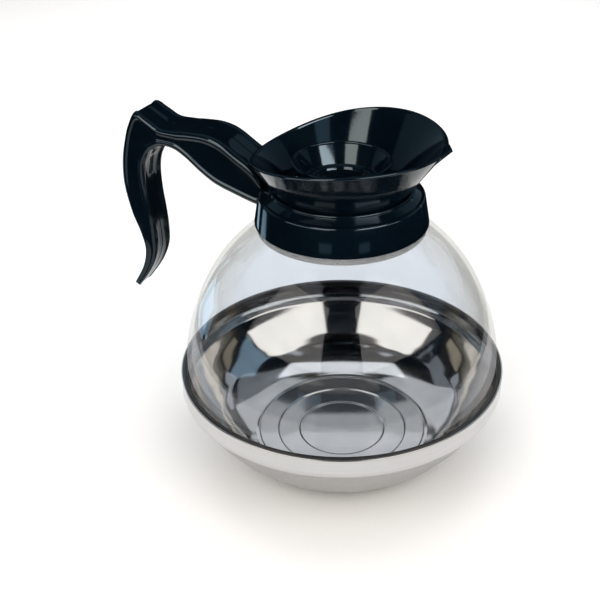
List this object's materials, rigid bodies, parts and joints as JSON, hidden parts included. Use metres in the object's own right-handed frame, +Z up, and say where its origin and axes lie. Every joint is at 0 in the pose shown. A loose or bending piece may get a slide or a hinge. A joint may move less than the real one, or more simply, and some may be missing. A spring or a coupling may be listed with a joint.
{
  "type": "coffee decanter",
  "caption": "Round coffee decanter with a steel base, clear bowl, two-part collar handle, pouring funnel and lift-out brew-through cup.",
  "frame": {"origin": "centre of the flat underside, on the bowl's axis", "axes": "+X towards the pouring lip, -X towards the handle, +Z up"},
  "size_m": [0.2023, 0.165, 0.1689],
  "materials": {
    "stainless": "stamped stainless sheet, mirror polished inside, satin on the outer band and dish",
    "clear_bowl": "clear moulded polycarbonate with a faint cool tint",
    "black_moulding": "gloss black moulded plastic with a slight blue cast",
    "black_rubber": "matt black food-grade rubber",
    "clear_silicone": "translucent grey silicone",
    "screw_steel": "zinc plated"
  },
  "bodies": {
    "decanter": {"base_pan": "stainless", "base_gasket": "black_rubber", "upper_bowl": "clear_bowl", "neck_seal": "clear_silicone", "mouth_gasket": "black_rubber", "pour_funnel": "black_moulding", "handle_shell_near": "black_moulding", "handle_shell_far": "black_moulding", "arm_screw": "screw_steel", "bend_screw": "screw_steel", "grip_screw": "screw_steel"},
    "cup": {"brew_cup": "black_moulding"}
  },
  "joints": [
    {"name": "cup_lift", "type": "slide", "parent": "decanter", "child": "cup", "axis": [0, 0, 1], "range_m": [0, 0.045]}
  ]
}
